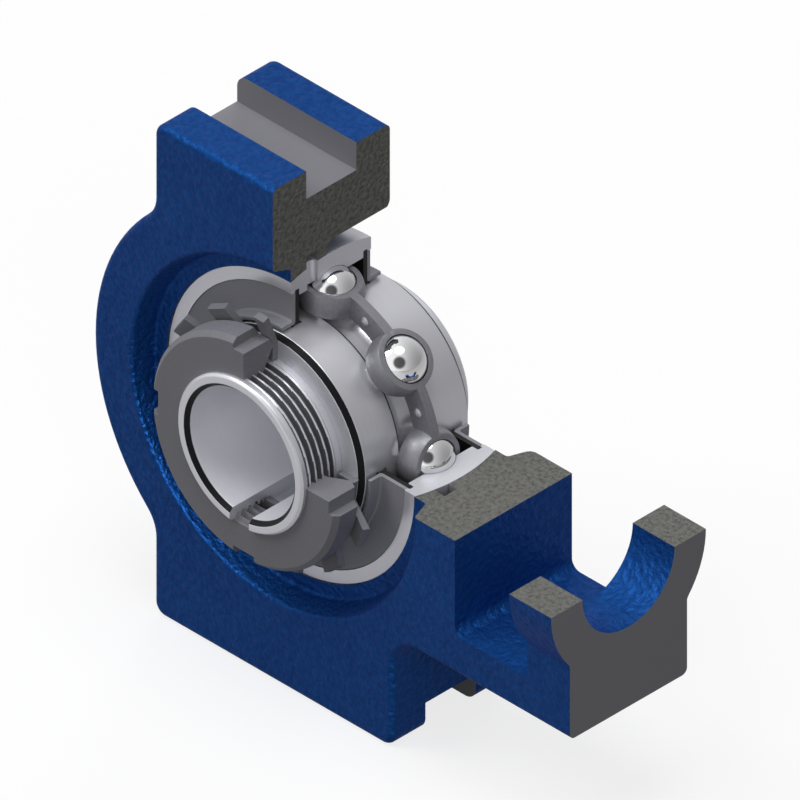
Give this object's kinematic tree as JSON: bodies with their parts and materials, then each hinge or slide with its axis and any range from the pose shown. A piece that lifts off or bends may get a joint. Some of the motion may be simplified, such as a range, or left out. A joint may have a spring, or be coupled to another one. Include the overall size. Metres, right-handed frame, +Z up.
{
  "type": "take-up bearing unit",
  "caption": "Take-up ball bearing unit: slotted cast housing, insert bearing on an adapter sleeve with lock nut and seals, one quarter cut away to show the balls and cage.",
  "frame": {"origin": "centre of the bearing, on the shaft axis, half way across the balls", "axes": "+X towards the end with the slot for the take-up screw, +Y along the shaft from the lock nut to the back, +Z up"},
  "size_m": [0.12, 0.0405, 0.1014],
  "materials": {
    "painted_casting": "satin textured blue paint on cast iron, machined and sawn faces bare",
    "plated_steel": "zinc plated",
    "ring_steel": "ground bearing steel",
    "sleeve_steel": "turned steel",
    "seal_steel": "pressed sheet, dark",
    "seal_rubber": "black nitrile rubber",
    "nut_steel": "dark phosphated steel",
    "cage_steel": "pressed steel sheet",
    "rivet_steel": "headed steel wire",
    "ball_steel": "polished"
  },
  "bodies": {
    "housing": {"housing": "painted_casting", "grease_nipple": "plated_steel"},
    "outer_ring": {"outer_ring": "ring_steel", "front_seal_plate": "seal_steel", "front_seal_lip": "seal_rubber", "rear_seal_plate": "seal_steel", "rear_seal_lip": "seal_rubber"},
    "shaft": {"inner_ring": "ring_steel", "adapter_sleeve": "sleeve_steel", "lock_nut": "nut_steel", "lock_washer": "nut_steel"},
    "cage": {"cage_front_half": "cage_steel", "cage_rear_half": "cage_steel", "cage_rivets": "rivet_steel"},
    "ball_1": {"ball_1": "ball_steel"},
    "ball_2": {"ball_2": "ball_steel"},
    "ball_3": {"ball_3": "ball_steel"},
    "ball_4": {"ball_4": "ball_steel"},
    "ball_5": {"ball_5": "ball_steel"},
    "ball_6": {"ball_6": "ball_steel"},
    "ball_7": {"ball_7": "ball_steel"},
    "ball_8": {"ball_8": "ball_steel"}
  },
  "joints": [
    {"name": "self_align", "type": "hinge", "parent": "housing", "child": "outer_ring", "pos_m": [0, 0, 0], "axis": [0, 0, 1], "range_deg": [-2.5, 2.5]},
    {"name": "shaft_spin", "type": "hinge", "parent": "outer_ring", "child": "shaft", "pos_m": [0, 0, 0], "axis": [0, 1, 0], "continuous": true},
    {"name": "cage_spin", "type": "hinge", "parent": "outer_ring", "child": "cage", "pos_m": [0, 0, 0], "axis": [0, 1, 0], "continuous": true},
    {"name": "ball_1_spin", "type": "hinge", "parent": "cage", "child": "ball_1", "pos_m": [0, 0, 0.023], "axis": [0, 1, 0], "continuous": true},
    {"name": "ball_2_spin", "type": "hinge", "parent": "cage", "child": "ball_2", "pos_m": [-0.01626, 0, 0.01626], "axis": [0, 1, 0], "continuous": true},
    {"name": "ball_3_spin", "type": "hinge", "parent": "cage", "child": "ball_3", "pos_m": [-0.023, 0, 0], "axis": [0, 1, 0], "continuous": true},
    {"name": "ball_4_spin", "type": "hinge", "parent": "cage", "child": "ball_4", "pos_m": [-0.01626, 0, -0.01626], "axis": [0, 1, 0], "continuous": true},
    {"name": "ball_5_spin", "type": "hinge", "parent": "cage", "child": "ball_5", "pos_m": [0, 0, -0.023], "axis": [0, 1, 0], "continuous": true},
    {"name": "ball_6_spin", "type": "hinge", "parent": "cage", "child": "ball_6", "pos_m": [0.01626, 0, -0.01626], "axis": [0, 1, 0], "continuous": true},
    {"name": "ball_7_spin", "type": "hinge", "parent": "cage", "child": "ball_7", "pos_m": [0.023, 0, 0], "axis": [0, 1, 0], "continuous": true},
    {"name": "ball_8_spin", "type": "hinge", "parent": "cage", "child": "ball_8", "pos_m": [0.01626, 0, 0.01626], "axis": [0, 1, 0], "continuous": true}
  ],
  "couplings": [
    {"joint": "cage_spin", "follows": "shaft_spin", "ratio": 0.39647},
    {"joint": "ball_1_spin", "follows": "shaft_spin", "ratio": -2.3112},
    {"joint": "ball_2_spin", "follows": "shaft_spin", "ratio": -2.3112},
    {"joint": "ball_3_spin", "follows": "shaft_spin", "ratio": -2.3112},
    {"joint": "ball_4_spin", "follows": "shaft_spin", "ratio": -2.3112},
    {"joint": "ball_5_spin", "follows": "shaft_spin", "ratio": -2.3112},
    {"joint": "ball_6_spin", "follows": "shaft_spin", "ratio": -2.3112},
    {"joint": "ball_7_spin", "follows": "shaft_spin", "ratio": -2.3112},
    {"joint": "ball_8_spin", "follows": "shaft_spin", "ratio": -2.3112}
  ]
}
